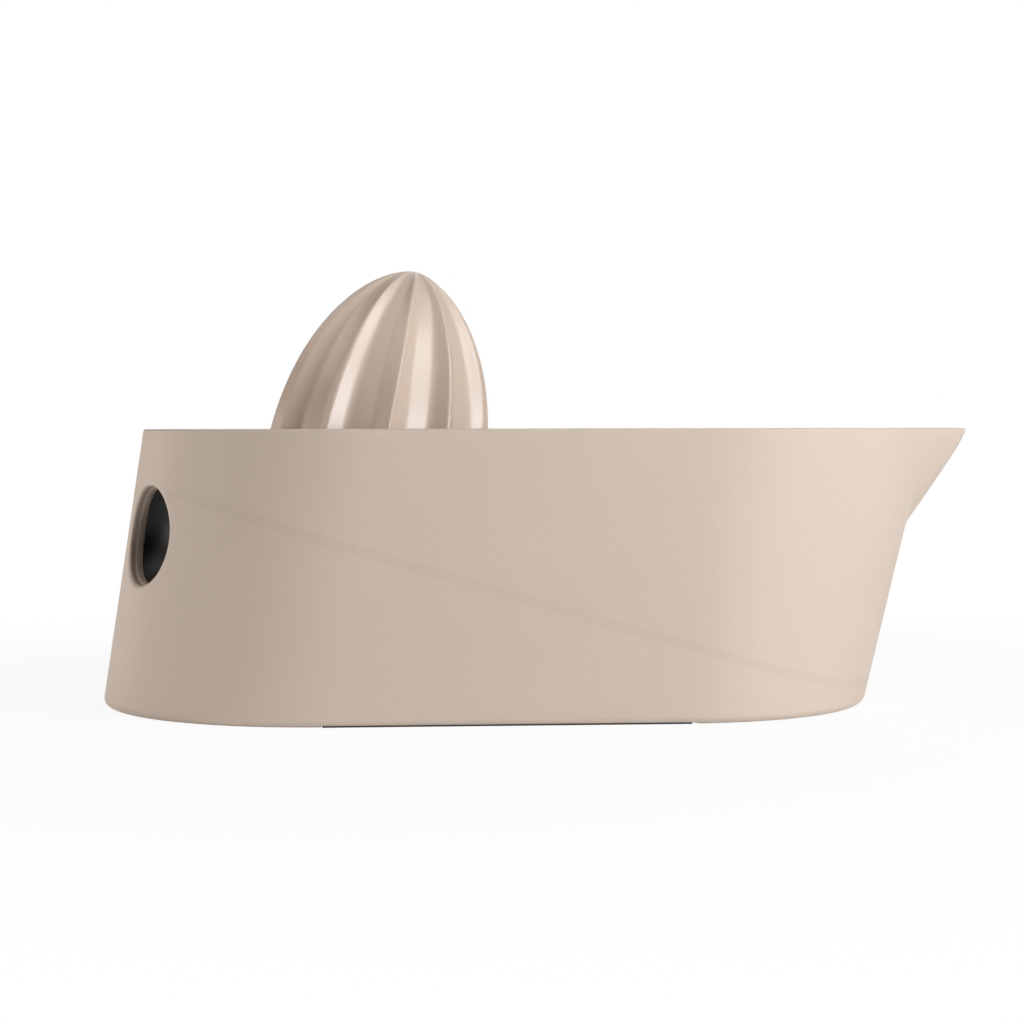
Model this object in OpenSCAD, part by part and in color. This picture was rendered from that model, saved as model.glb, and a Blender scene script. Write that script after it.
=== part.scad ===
// Citrus juicer: a stadium-shaped jug that leans towards its pointed spout,
// with a fluted reamer on a slotted strainer tray and a soft cup in each finger port.
// The frame stands on the table, X runs from the rear to the spout and Z points up.

/* [Jug] */
// Height of the rim above the table
jug_h = 70; // [64:0.5:78]
// Length of the base along X
base_len = 195.3; // [185:0.1:205]
// Radius of the rear end at the base
base_rear_r = 56.6; // [55:0.1:60]
// Radius of the front end at the base
base_front_r = 50.8; // [46:0.1:54]
// Length of the rim along X, without the spout
rim_len = 201.2; // [192:0.1:210]
// Radius of the rear end at the rim
rim_rear_r = 55.4; // [54.5:0.1:59]
// Half the width of the long front end at the rim
rim_front_w = 48.5; // [44:0.1:52]
// How far the rear end leans forward between base and rim
rear_lean = 10.8; // [8:0.1:13]
// Thickness of the outer wall
wall = 2.4; // [2:0.1:3]
// Radius of the rounded edge at the base
base_round = 1.9; // [1:0.1:2.4]
// Radius of the rounded outer edge of the rim
rim_round = 0.6; // [0.3:0.1:1]

/* [Spout] */
// How far the tip stands out in front of the rim
spout_reach = 10.2; // [7:0.1:14]
// How far below the rim the spout starts
spout_drop = 25.5; // [20:0.5:32]
// Half the width of the spout where it meets the rim
spout_half_w = 18; // [14:0.1:24]
// Radius of the rounded tip
spout_tip_r = 0.7; // [0.5:0.1:1.2]
// Thickness of the spout's wall
spout_wall = 2.2; // [1.8:0.1:2.8]

/* [Bowl floor] */
// Height of the top of the floor behind the slope
floor_rear_z = 55.3; // [52:0.1:56]
// Height of the top of the floor in front of the slope
floor_front_z = 8; // [7:0.1:14]
// Level length of floor behind the slope
floor_rear_run = 26; // [18:0.5:32]
// Level length of floor in front of the slope
floor_front_run = 6; // [3:0.5:12]
// Thickness of the floor
floor_t = 2.4; // [2:0.1:3]

/* [Finger ports] */
// Height of the centre of each port
port_z = 43.8; // [42:0.1:45]
// Radius of each port at its mouth
port_r = 12.2; // [11:0.1:12.5]
// Angle of the port's centre round the rear end, from the middle
port_azimuth = 30.7; // [27:0.1:36]
// Direction in which each port runs inwards
port_aim = 34; // [28:0.5:40]
// Depth of the step behind the rounded mouth
port_step_depth = 1.9; // [1.4:0.1:2.4]
// Height of that step
port_step = 0.25; // [0.15:0.05:0.4]
// Depth of the lip that holds the soft cup
port_lip_depth = 3.9; // [3.2:0.1:4.5]
// How far the soft cup reaches behind the lip
cup_grip = 0.9; // [0.6:0.1:1.2]
// Depth of the hollow in the soft cup
cup_dish = 7; // [5:0.1:8]
// Thickness of the soft cup
cup_wall = 1.6; // [1.2:0.1:2]
// Thickness of the pocket that holds the cup
pocket_wall = 1.6; // [1.4:0.1:2]

/* [Base] */
// Thickness of the cover that closes the underside
cover_t = 2; // [1.5:0.1:3]
// Thickness of the soft pad
pad_t = 1.6; // [1.2:0.1:2.2]
// Thickness of the pad where it shows under the straight sides
pad_edge_t = 0.4; // [0.3:0.05:0.8]
// How far the pad's edge stands back from the side
pad_edge_inset = 1; // [0.8:0.1:1.6]
// Gap round the cover and the pad
base_gap = 0.15; // [0.1:0.05:0.3]

/* [Strainer tray] */
// Tilt of the tray and the reamer towards the spout
tilt = 11.7; // [9:0.1:13]
// Distance of the reamer's foot from the rear end of the base
foot_from_rear = 68; // [66:0.1:70]
// Height of the tray's upper face under the reamer
tray_z = 51.3; // [50.8:0.1:52.5]
// Gap between the tray's sides and the jug's wall
tray_side_gap = 2.3; // [2:0.1:4]
// Gap between the tray's rear end and the jug's wall
tray_back_gap = 1.2; // [1:0.1:3]
// Thickness of the tray's plate
tray_t = 2; // [1.6:0.1:2.4]
// Height of the tray's rim
tray_rim_h = 6.3; // [4:0.1:6.8]
// Thickness of the tray's rim
tray_rim_t = 1.8; // [1.4:0.1:2.4]
// Number of juice slots
slot_count = 36; // [24:1:40]
// Width of each slot
slot_w = 2.2; // [1.6:0.1:2.6]
// Distance of each slot's inner end from the ridge round the reamer's foot
slot_inner_gap = 3.9; // [2:0.1:5]
// Distance of each slot's outer end from the tray's rim
slot_outer_gap = 3.7; // [2:0.1:6]
// Height of the ridge round the reamer's foot
ridge_h = 1.5; // [1:0.1:2.5]
// Thickness of that ridge
ridge_t = 1.4; // [1:0.1:2]
// Thickness of each rib that carries the tray
rest_t = 3; // [2:0.1:4]
// How far each rib reaches under the tray
rest_lap = 3; // [2:0.1:4]
// Distance of the rear side ribs behind the reamer's foot
rest_behind = 25; // [20:0.5:30]
// Distance of the front side ribs ahead of the reamer's foot
rest_ahead = 19; // [12:0.5:24]
// Gap between pieces that lift off each other
seat_gap = 0.3; // [0.2:0.05:0.5]

/* [Reamer] */
// Height of the reamer's tip above the tray
reamer_h = 60.3; // [56:0.1:66]
// Radius over the ribs at the foot
reamer_r = 28.9; // [26:0.1:30]
// Height of the straight part at the foot
reamer_skirt = 5.4; // [4:0.1:8]
// Exponent that rounds the dome along its axis
dome_along = 2.21; // [2:0.01:2.5]
// Exponent that fills the dome sideways
dome_across = 1.71; // [1.5:0.01:2]
// Number of ribs
rib_count = 11; // [9:1:14]
// Depth of the flutes between the ribs
flute_depth = 3.9; // [2.4:0.1:4.4]
// Half the width of each rib, where it has fallen by two thirds of its height
rib_half_w = 3; // [2:0.1:4.5]
// Turn of the first rib round the axis
rib_turn = 177.6; // [164:0.1:196]
// Wall of the reamer behind the flutes
reamer_wall = 2; // [1.6:0.1:2.6]

/* [Boss] */
// Number of flat sides that stop the reamer turning
boss_sides = 6; // [5:1:8]
// Height of the boss above the tray
boss_h = 9; // [6:0.5:12]
// Wall of the boss
boss_wall = 2; // [1.6:0.1:2.6]
// Gap between the boss and the reamer's socket
socket_gap = 0.3; // [0.2:0.05:0.4]

/* [Hidden] */

beige = [0.78, 0.71, 0.65];
charcoal = [0.10, 0.10, 0.10];
grey = [0.35, 0.34, 0.33];

slice = 0.01;
beyond = 1;
far = 400;
round_fn = 96;

// Rear end of the base and tip of the spout, with the origin midway along the whole
total_len = rear_lean + rim_len + spout_reach;
rear_end = -(total_len + rear_lean * base_round / jug_h) / 2;
tip_x = rear_end + total_len;

// The round rear end at height z: its radius and the place of its centre
function mix(a, b, z) = a + (b - a) * z / jug_h;
function rear_r(z) = mix(base_rear_r, rim_rear_r, z);
function rear_x(z) = mix(rear_end + base_rear_r, rear_end + rear_lean + rim_rear_r, z);
// The front end is round at the base and draws out to a long oval at the rim, like a bow.
// Its middle stays in one place, and its length and half width change with height z
front_x = rear_end + base_len - base_front_r;
function front_len(z) = mix(base_front_r, rear_end + rear_lean + rim_len - front_x, z);
function front_w(z) = mix(base_front_r, rim_front_w, z);

// Heights and insets that round the jug's two edges
edge_levels = concat(
    [for (a = [90:-22.5:0]) [base_round * (1 - sin(a)), base_round * (1 - cos(a))]],
    [for (a = [0:30:90]) [jug_h - slice - rim_round * (1 - sin(a)), rim_round * (1 - cos(a))]]);

// The spout's root widens as the square root of the height above its start
spout_foot_z = jug_h - spout_drop;
spout_steps = 8;
function root_half(f, half_w) = half_w * sqrt(f);
function root_x(z, half, inset) =
    front_x + (front_len(z) - inset) * sqrt(1 - pow(half / (front_w(z) - inset), 2));

floor_slope_start = rear_end + floor_rear_run;
floor_slope_end = rear_end + base_len - wall - floor_front_run;

cover_z = pad_t;
// Where the straight sides begin and end at the base
side_sine = (base_rear_r - base_front_r) / (front_x - rear_x(0));
straight_start = rear_x(0) + base_rear_r * side_sine;
straight_end = front_x + base_front_r * side_sine;

lip_r = port_r - port_step;
cup_r = lip_r + cup_grip;
// The cup is part of a ball whose hollow just fits inside the lip
cup_mouth_r = lip_r - port_step;
cup_ball_r = (cup_mouth_r * cup_mouth_r + cup_dish * cup_dish) / (2 * cup_dish);
cup_ball_depth = port_lip_depth + cup_dish - cup_ball_r;
cup_rim_t = 2.5;
cup_gap = 0.1;

foot_x = rear_end + foot_from_rear;
// The tray's round ends follow the jug's wall at the reamer's foot
tray_r = rear_r(tray_z) - wall - tray_side_gap;
// Length from the reamer's axis to the tray's end, along the tilted tray. The wall it
// has to clear leans, so that both slopes are in it
lean_slope = rear_lean / jug_h;
back_room = foot_from_rear - wall - tray_back_gap - lean_slope * tray_z;
tray_end = back_room / (cos(tilt) + lean_slope * sin(tilt));
tray_stretch = tray_end - tray_r;
slot_in = reamer_r + seat_gap + ridge_t + slot_inner_gap;
slot_out = tray_r - tray_rim_t - slot_outer_gap;
// Half the width of the tray at a distance u ahead of the reamer's axis
function tray_half(u) = sqrt(pow(tray_r, 2) - pow(max(abs(u) - tray_stretch, 0), 2));

dome_h = reamer_h - reamer_skirt;
rib_steps = 10;
dome_steps = 13;
// Radius of the dome over the ribs, at height h above the tray
function dome_t(h) = max(h - reamer_skirt, 0) / dome_h;
function dome_r(h) = reamer_r * pow(max(1 - pow(dome_t(h), dome_along), 0), 1 / dome_across);
// Distance round the foot from the nearest crest, for direction a
rib_pitch = 2 * PI * reamer_r / rib_count;
function from_crest(a) = let (t = rib_count * (a - rib_turn) / 360) abs(t - round(t)) * rib_pitch;
// Flute: nought on a crest and almost one between ribs, which are rounded like a bell
function flute(a) = 1 - exp(-pow(from_crest(a) / rib_half_w, 2));
function ream_r(h, a) = dome_r(h) - flute_depth * flute(a) * pow(dome_r(h) / reamer_r, 0.8);
// Heights of the rings of points: even steps of angle crowd them towards the tip
ring_h = concat([seat_gap],
                [for (i = [0:dome_steps - 1]) reamer_skirt + dome_h * sin(90 * i / dome_steps)]);
ring_n = rib_count * rib_steps;

// The socket's corners leave the reamer's wall behind the flutes, and the boss fits the socket
socket_r = reamer_r - flute_depth - reamer_wall;
boss_r = socket_r - socket_gap / cos(180 / boss_sides);

// Solid between the two round ends, through the given heights and insets
module leaning_form(levels, fn) {
    hull() {
        for (level = levels) {
            translate([rear_x(level[0]), 0, level[0]])
                cylinder(r = rear_r(level[0]) - level[1], h = slice, $fn = fn);
            translate([front_x, 0, level[0]])
                scale([(front_len(level[0]) - level[1]) / (front_w(level[0]) - level[1]), 1, 1])
                    cylinder(r = front_w(level[0]) - level[1], h = slice, $fn = fn);
        }
    }
}

// Solid from the spout's root curve on the front end to its tip
module spout_form(inset, half_w, drop, top) {
    hull() {
        translate([tip_x - spout_tip_r - 1.25 * inset, 0, top - slice])
            cylinder(r = spout_tip_r, h = slice, $fn = 16);
        for (i = [0:spout_steps]) {
            z = jug_h - drop * (1 - i / spout_steps);
            half = max(root_half(i / spout_steps, half_w), slice);
            lift = (top - jug_h) * i / spout_steps - slice;
            translate([root_x(z, half, inset + slice) - 1, -half, z + lift])
                cube([1, 2 * half, slice]);
        }
    }
}

// Everything below the tray's underside, less the gap at its seat
module below_tray() {
    translate([foot_x, 0, tray_z])
        rotate([0, tilt, 0])
            translate([-far / 2, -far / 2, -tray_t - seat_gap - far])
                cube([far, far, far]);
}

module tray_rests() {
    intersection() {
        union() {
            rear_rest_x = foot_x - tray_end * cos(tilt) + rest_lap;
            translate([rear_rest_x - far, -rest_t / 2, floor_rear_z - floor_t])
                cube([far, rest_t, far]);
            for (side = [-1, 1]) {
                for (u = [-rest_behind, rest_ahead]) {
                    inner = tray_half(u / cos(tilt)) - rest_lap;
                    translate([foot_x + u - rest_t / 2, side > 0 ? inner : -inner - far, floor_front_z])
                        cube([rest_t, far, far]);
                }
            }
        }
        below_tray();
        above_floor(-floor_t / 2);
    }
}

// Side view of the bowl's floor, from its top face down by depth
module floor_outline(depth) {
    polygon([[-far, floor_rear_z], [floor_slope_start, floor_rear_z],
             [floor_slope_end, floor_front_z], [far, floor_front_z],
             [far, floor_front_z - depth], [floor_slope_end, floor_front_z - depth],
             [floor_slope_start, floor_rear_z - depth], [-far, floor_rear_z - depth]]);
}

module across(half) {
    rotate([90, 0, 0])
        translate([0, 0, -half])
            linear_extrude(2 * half)
                children();
}

// Everything above the floor's top face, raised by lift
module above_floor(lift) {
    translate([0, 0, lift])
        across(far / 2)
            polygon([[-far, floor_rear_z], [floor_slope_start, floor_rear_z],
                     [floor_slope_end, floor_front_z], [far, floor_front_z],
                     [far, far], [-far, far]]);
}

// Places its children at a port's mouth, with +Z running inwards
module at_port(side) {
    r = rear_r(port_z);
    translate([rear_x(port_z) - r * cos(port_azimuth), side * r * sin(port_azimuth), port_z])
        rotate([0, 0, -side * port_aim])
            rotate([0, 90, 0])
                children();
}

// Blind pocket that closes the port towards the bowl
module port_pocket() {
    intersection() {
        translate([0, 0, cup_ball_depth])
            sphere(r = cup_ball_r + cup_wall + cup_gap + pocket_wall, $fn = round_fn);
        cylinder(r = cup_r + cup_gap + pocket_wall, h = far, $fn = round_fn);
    }
}

module port_bore() {
    translate([0, 0, -far / 8])
        cylinder(r = port_r, h = far / 8 + port_step_depth, $fn = round_fn);
    cylinder(r = lip_r, h = port_lip_depth + slice, $fn = round_fn);
    intersection() {
        translate([0, 0, port_lip_depth])
            cylinder(r = cup_r + cup_gap, h = far, $fn = round_fn);
        translate([0, 0, cup_ball_depth])
            sphere(r = cup_ball_r + cup_wall + cup_gap, $fn = round_fn);
    }
    translate([0, 0, port_lip_depth])
        cylinder(r = cup_r + cup_gap, h = cup_rim_t + cup_gap, $fn = round_fn);
}

module jug_body() {
    color(beige)
        difference() {
            union() {
                leaning_form(edge_levels, round_fn);
                spout_form(0, spout_half_w, spout_drop, jug_h);
            }
            difference() {
                leaning_form([[-beyond, wall], [jug_h + beyond, wall]], round_fn);
                across(far / 2)
                    floor_outline(floor_t);
                tray_rests();
                for (side = [-1, 1])
                    at_port(side)
                        port_pocket();
            }
            spout_form(spout_wall, spout_half_w - spout_wall, spout_drop - 2 * spout_wall, jug_h + beyond);
            for (side = [-1, 1])
                at_port(side)
                    port_bore();
            translate([straight_start, -far / 2, -beyond])
                cube([straight_end - straight_start, far, beyond + pad_edge_t]);
        }
}

// Slab that fills the base between the jug's walls from height low up to height high
module base_slab(inset, low, high) {
    rear_p = rear_r(high) - inset;
    front_p = front_w(high) - inset;
    sine = (rear_p - front_p) / (front_x - rear_x(high));
    cosine = sqrt(1 - sine * sine);
    // The sides lie a hair inside the circles, so that they cross and don't just touch
    rear_y = rear_p * cosine - slice;
    front_y = front_p * cosine - slice;
    union() {
        translate([rear_x(high), 0, low])
            cylinder(r = rear_p, h = high - low, $fn = round_fn);
        translate([front_x, 0, low])
            cylinder(r = front_p, h = high - low, $fn = round_fn);
        translate([0, 0, low])
            linear_extrude(high - low)
                polygon([[rear_x(high) + rear_p * sine, rear_y], [front_x + front_p * sine, front_y],
                         [front_x + front_p * sine, -front_y], [rear_x(high) + rear_p * sine, -rear_y]]);
    }
}

// Four-sided slab between the straight sides of the base
module straight_slab(inset, t) {
    start = straight_start + base_gap;
    end = straight_end - base_gap;
    function half(x) = (rear_r(0) - (x - rear_x(0)) * side_sine) / sqrt(1 - side_sine * side_sine) - inset;
    linear_extrude(t)
        polygon([[start, half(start)], [end, half(end)], [end, -half(end)], [start, -half(start)]]);
}

module base_cover() {
    color(grey)
        base_slab(wall + base_gap, cover_z, cover_z + cover_t);
}

module base_pad() {
    color(charcoal) {
        straight_slab(wall + 2 * base_gap, pad_t);
        straight_slab(pad_edge_inset, pad_edge_t);
    }
}

module port_cup(side) {
    color(charcoal)
        at_port(side)
            difference() {
                union() {
                    translate([0, 0, port_lip_depth])
                        cylinder(r = cup_r, h = cup_rim_t, $fn = round_fn);
                    intersection() {
                        translate([0, 0, cup_ball_depth])
                            sphere(r = cup_ball_r + cup_wall, $fn = round_fn);
                        translate([0, 0, port_lip_depth])
                            cylinder(r = cup_r, h = far, $fn = round_fn);
                    }
                }
                translate([0, 0, cup_ball_depth])
                    sphere(r = cup_ball_r, $fn = round_fn);
            }
}

// Oval with the tray's round ends, drawn inset from its edge
module tray_oval(inset, low, high) {
    translate([0, 0, low]) {
        for (end = [-1, 1])
            translate([end * tray_stretch, 0, 0])
                cylinder(r = tray_r - inset, h = high - low, $fn = round_fn);
        translate([-tray_stretch, inset - tray_r, 0])
            cube([2 * tray_stretch, 2 * (tray_r - inset), high - low]);
    }
}

module on_tray() {
    translate([foot_x, 0, tray_z])
        rotate([0, tilt, 0])
            children();
}

module juice_slot() {
    translate([slot_in + slot_w / 2, 0, -tray_t - beyond]) {
        translate([0, -slot_w / 2, 0])
            cube([slot_out - slot_in - slot_w, slot_w, tray_t + 2 * beyond]);
        cylinder(r = slot_w / 2, h = tray_t + 2 * beyond, $fn = 24);
        translate([slot_out - slot_in - slot_w, 0, 0])
            cylinder(r = slot_w / 2, h = tray_t + 2 * beyond, $fn = 24);
    }
}

module strainer_tray() {
    ridge_in = reamer_r + seat_gap;
    hollow_h = tray_t + boss_h - boss_wall;
    color(beige)
        on_tray()
            difference() {
                union() {
                    difference() {
                        tray_oval(0, -tray_t, tray_rim_h);
                        tray_oval(tray_rim_t, 0, tray_rim_h + beyond);
                    }
                    difference() {
                        translate([0, 0, -slice])
                            cylinder(r = ridge_in + ridge_t, h = ridge_h + slice, $fn = round_fn);
                        translate([0, 0, -beyond])
                            cylinder(r = ridge_in, h = ridge_h + 2 * beyond, $fn = round_fn);
                    }
                    translate([0, 0, -slice])
                        cylinder(r = boss_r, h = boss_h + slice, $fn = boss_sides);
                }
                // The boss is hollow from below, up to its roof
                translate([0, 0, -tray_t - beyond])
                    cylinder(r = boss_r - boss_wall, h = hollow_h + beyond, $fn = boss_sides);
                for (i = [0:slot_count - 1])
                    rotate([0, 0, 360 * (i + 0.5) / slot_count])
                        juice_slot();
            }
}

// Fluted outside of the reamer: rings of points from the foot up to the tip
module fluted_dome() {
    rings = len(ring_h);
    points = concat(
        [for (h = ring_h)
            for (j = [0:ring_n - 1])
                let (a = rib_turn + 360 * j / ring_n)
                    [ream_r(h, a) * cos(a), ream_r(h, a) * sin(a), h]],
        [[0, 0, reamer_h], [0, 0, ring_h[0]]]);
    tip = rings * ring_n;
    foot = tip + 1;
    sides = [for (i = [0:rings - 2])
                for (j = [0:ring_n - 1])
                    let (k = (j + 1) % ring_n)
                        [i * ring_n + j, (i + 1) * ring_n + j, (i + 1) * ring_n + k, i * ring_n + k]];
    cap = [for (j = [0:ring_n - 1])
                [(rings - 1) * ring_n + j, tip, (rings - 1) * ring_n + (j + 1) % ring_n]];
    bottom = [for (j = [0:ring_n - 1]) [foot, j, (j + 1) % ring_n]];
    polyhedron(points, concat(sides, cap, bottom), convexity = 6);
}

// Inside of the reamer: a socket for the boss, and a smooth dome above it
module reamer_hollow() {
    inset = flute_depth + reamer_wall;
    start = boss_h + beyond;
    roof = reamer_h - 2 * inset;
    widest = socket_r * cos(180 / boss_sides);
    steps = 14;
    translate([0, 0, -beyond])
        cylinder(r = socket_r, h = start + beyond, $fn = boss_sides);
    rotate_extrude($fn = round_fn)
        polygon(concat([[0, start - beyond]], [[widest, start - beyond]],
                       [for (i = [0:steps])
                           let (h = start + (roof - start) * sin(90 * i / steps))
                               [min(max(dome_r(h + inset * i / steps) - inset, 0.5), widest), h]],
                       [[0, roof]]));
}

module reamer() {
    color(beige)
        on_tray()
            difference() {
                fluted_dome();
                reamer_hollow();
            }
}

jug_body();
base_cover();
base_pad();
port_cup(1);  // port_cup_left
port_cup(-1);  // port_cup_right
strainer_tray();
reamer();
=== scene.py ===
# %% [markdown]
# # A citrus juicer with a tilted reamer
# The real object is a moulded plastic jug, shaped like a small boat. Its rear end is
# round, its front end is drawn out into a pointed spout, and a fluted reamer stands
# on a strainer tray inside it. A soft black cup sits in a finger port at the rear.
# The CAD model fixes every size. This script dresses it: faceted or plain solids get a
# smooth skin that is worked out with numpy, and each surface gets a procedural finish.

import bmesh
import bpy
import numpy as np
from mathutils import Matrix, Vector


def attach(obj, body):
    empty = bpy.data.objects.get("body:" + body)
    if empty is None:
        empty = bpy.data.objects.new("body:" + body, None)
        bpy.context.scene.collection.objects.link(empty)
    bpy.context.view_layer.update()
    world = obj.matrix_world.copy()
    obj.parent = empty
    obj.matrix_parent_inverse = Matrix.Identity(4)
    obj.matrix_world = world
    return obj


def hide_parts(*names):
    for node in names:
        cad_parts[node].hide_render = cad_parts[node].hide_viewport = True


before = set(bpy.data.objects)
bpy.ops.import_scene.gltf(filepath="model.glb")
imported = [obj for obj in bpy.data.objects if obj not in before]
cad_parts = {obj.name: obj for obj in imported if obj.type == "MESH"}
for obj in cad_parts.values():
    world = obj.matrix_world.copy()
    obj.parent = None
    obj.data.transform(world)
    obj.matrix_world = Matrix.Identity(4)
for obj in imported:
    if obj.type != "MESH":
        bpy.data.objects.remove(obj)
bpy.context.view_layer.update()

# %% [markdown]
# ## Sizes
# All sizes are in millimetres, as on a workshop drawing, and are turned into metres
# when a mesh is made. They are the named values of the CAD source, so that a new
# skin lies exactly where the solid is.

# %% Sizes of the jug, the ports, the tray and the reamer
MM = 0.001
PI = np.pi
TINY = 1e-3

JUG_H, BASE_LEN, RIM_LEN = 70.0, 195.3, 201.2
BASE_REAR_R, BASE_FRONT_R = 56.6, 50.8
RIM_REAR_R, RIM_FRONT_W = 55.4, 48.5
REAR_LEAN, SPOUT_REACH, SPOUT_DROP = 10.8, 10.2, 25.5
SPOUT_HALF_W, SPOUT_WALL = 18.0, 2.2
WALL, FOOT_ROUND, RIM_ROUND = 2.4, 1.9, 0.6
FLOOR_REAR_Z, FLOOR_FRONT_Z, FLOOR_T = 55.3, 8.0, 2.4
FLOOR_REAR_RUN, FLOOR_FRONT_RUN = 26.0, 6.0
PAD_EDGE_T = 0.4

REAR_END = -(REAR_LEAN + RIM_LEN + SPOUT_REACH + REAR_LEAN * FOOT_ROUND / JUG_H) / 2
TIP_X = REAR_END + REAR_LEAN + RIM_LEN + SPOUT_REACH
FRONT_X = REAR_END + BASE_LEN - BASE_FRONT_R
SLOPE_FROM = REAR_END + FLOOR_REAR_RUN
SLOPE_TO = REAR_END + BASE_LEN - WALL - FLOOR_FRONT_RUN

PORT_Z, PORT_R = 43.8, 12.2
PORT_AT, PORT_AIM = np.radians(30.7), np.radians(34.0)

TILT = np.radians(11.7)
TRAY_Z, FOOT_X = 51.3, REAR_END + 68.0

# %% [markdown]
# ## Meshes from numpy
# Nearly every surface here is a grid of points: rows along one direction, columns
# along the other. One function gives the faces of such a grid, and one function
# joins several grids into a piece. Where two grids share an edge, their points
# coincide and are welded, so the skin is closed.

# %% Helpers that turn grids into pieces


def grid_faces(rows, cols, wrap):
    """Squares between neighbouring rows and columns: point (r, c) has the number r * cols + c.

    With wrap, the last column meets the first.
    """
    last = cols if wrap else cols - 1
    r, c = np.meshgrid(np.arange(rows - 1), np.arange(last), indexing="ij")
    n = (c + 1) % cols
    here, above = r * cols, (r + 1) * cols
    return np.stack([here + c, here + n, above + n, above + c], axis=-1).reshape(-1, 4)


def surface(points, wrap=False, skip=None):
    """A grid of points, shape rows x columns x 3, as a list of points and a list of faces."""
    rows, cols = points.shape[:2]
    quads = grid_faces(rows, cols, wrap)
    if skip is not None:
        quads = quads[~skip[:, : cols if wrap else cols - 1].reshape(-1)]
    return points.reshape(-1, 3), quads


def make_piece(name, parts, body, replaces=(), sharp=40.0, weld=2e-3):
    """Joins the parts, welds equal points, turns faces outwards and hands the piece to its body.

    Points closer than weld, in millimetres, become one. Edges steeper than sharp, in
    degrees, are shaded as edges.
    """
    starts = np.cumsum([0] + [len(p) for p, _ in parts[:-1]])
    points = np.concatenate([p for p, _ in parts])
    faces = np.concatenate([q + s for (_, q), s in zip(parts, starts)])
    mesh = bpy.data.meshes.new(name)
    mesh.from_pydata((points * MM).tolist(), [], faces.tolist())
    made = bmesh.new()
    made.from_mesh(mesh)
    bmesh.ops.remove_doubles(made, verts=made.verts, dist=weld * MM)
    bmesh.ops.dissolve_degenerate(made, edges=made.edges, dist=weld * MM / 10)
    loose = [e for e in made.edges if not e.link_faces]
    bmesh.ops.delete(made, geom=loose, context="EDGES")
    bmesh.ops.recalc_face_normals(made, faces=made.faces)
    open_edges = sum(1 for e in made.edges if not e.is_manifold)
    made.to_mesh(mesh)
    made.free()
    mesh.polygons.foreach_set("use_smooth", np.ones(len(mesh.polygons), dtype=bool))
    mesh.set_sharp_from_angle(angle=np.radians(sharp))
    piece = bpy.data.objects.new(name, mesh)
    bpy.context.scene.collection.objects.link(piece)
    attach(piece, body)
    if replaces:
        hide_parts(*replaces)
    print(name, len(mesh.polygons), "faces,", open_edges, "open edges")
    return piece


# %% [markdown]
# ## The jug's outline
# Seen from above, the jug has a round rear end and straight sides. The front end is
# round at the base and draws out to a long oval at the rim, like the bow of a boat.
# Everything changes evenly with height, so the whole wall leans forward. The spout is
# a cone: straight lines run from its tip to a root curve on the front wall, whose width
# grows as the square root of its height. Where the cone stands outside the wall it
# takes over, with a small fillet. A boolean would do this too, but the smooth maximum
# of two radii keeps one clean grid.

# %% Sizes of the ends at a height, and where the straight side touches them


def between(low, high, z):
    """Even change from low at the table to high at the rim."""
    return low + (high - low) * z / JUG_H


def rear_round(z):
    """Centre and radius of the rear end at height z."""
    centre = between(REAR_END + BASE_REAR_R, REAR_END + REAR_LEAN + RIM_REAR_R, z)
    return centre, between(BASE_REAR_R, RIM_REAR_R, z)


def front_oval(z):
    """Length and half width of the front end at height z, both from its fixed middle."""
    length = between(BASE_FRONT_R, REAR_END + REAR_LEAN + RIM_LEN - FRONT_X, z)
    return length, between(BASE_FRONT_R, RIM_FRONT_W, z)


def side_turn(z, inset):
    """Cosine of the direction in which the straight side faces.

    The side touches the rear circle and the front oval. Their farthest reaches in the
    side's direction are equal: the circle's centre and radius on one side, the root of
    the squared half axes times cosine and sine on the other. That is a quadratic.
    """
    centre, radius = rear_round(z)
    length, half = front_oval(z)
    apart, r, a, b = FRONT_X - centre, radius - inset, length - inset, half - inset
    square = apart**2 - a**2 + b**2
    return (apart * r - np.sqrt((apart * r) ** 2 - square * (r**2 - b**2))) / square


# %% Cone of the spout
# The search for the cone ends at this share and halves so often. The ridge is softened
# by a small angle (radians, squared), or it would be a crease.
LAST_SHARE, HALVINGS, RIDGE_SOFT = 1.6, 40, 0.0006


def cone_point(share, below, inset, tip, half_w, drop):
    """Point of the cone at a depth below the rim: tip + share * (root - tip).

    The root curve lies on the front oval. Its half width shrinks from half_w at the
    rim to nought at the drop, as the square root of what is left of the drop.
    """
    root_below = below / share
    length, wide = front_oval(JUG_H - root_below)
    half = half_w * np.sqrt(np.maximum(1 - root_below / drop, 0))
    ahead = np.sqrt(np.maximum(1 - (half / (wide - inset)) ** 2, 0))
    root_x = FRONT_X + (length - inset) * ahead
    return tip + share * (root_x - tip) - FRONT_X, share * half


def spout_radius(psi, z, inset, tip, half_w, drop):
    """Distance from the front end's centre to the spout's cone, in direction psi at height z.

    The share that gives this direction is found by halving an interval, for all
    points at once. Where there is none, the cone isn't met and the distance is nought.
    """
    psi = np.sqrt(psi**2 + RIDGE_SOFT)
    below = np.maximum(JUG_H - z, TINY)
    low = below / drop
    high = np.full_like(low, LAST_SHARE)
    for _ in range(HALVINGS):
        middle = (low + high) / 2
        x, y = cone_point(middle, below, inset, tip, half_w, drop)
        outside = y * np.cos(psi) > x * np.sin(psi)
        high = np.where(outside, middle, high)
        low = np.where(outside, low, middle)
    x, y = cone_point(high, below, inset, tip, half_w, drop)
    return np.where(high > LAST_SHARE - 0.01, 0.0, np.hypot(x, y))


def smooth_max(a, b, blend):
    """The larger of two lengths: half of their sum and of the root of their squared gap.

    The blend, squared and added under the root, makes a fillet where they are equal.
    """
    return (a + b + np.sqrt((a - b) ** 2 + blend**2)) / 2


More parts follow.
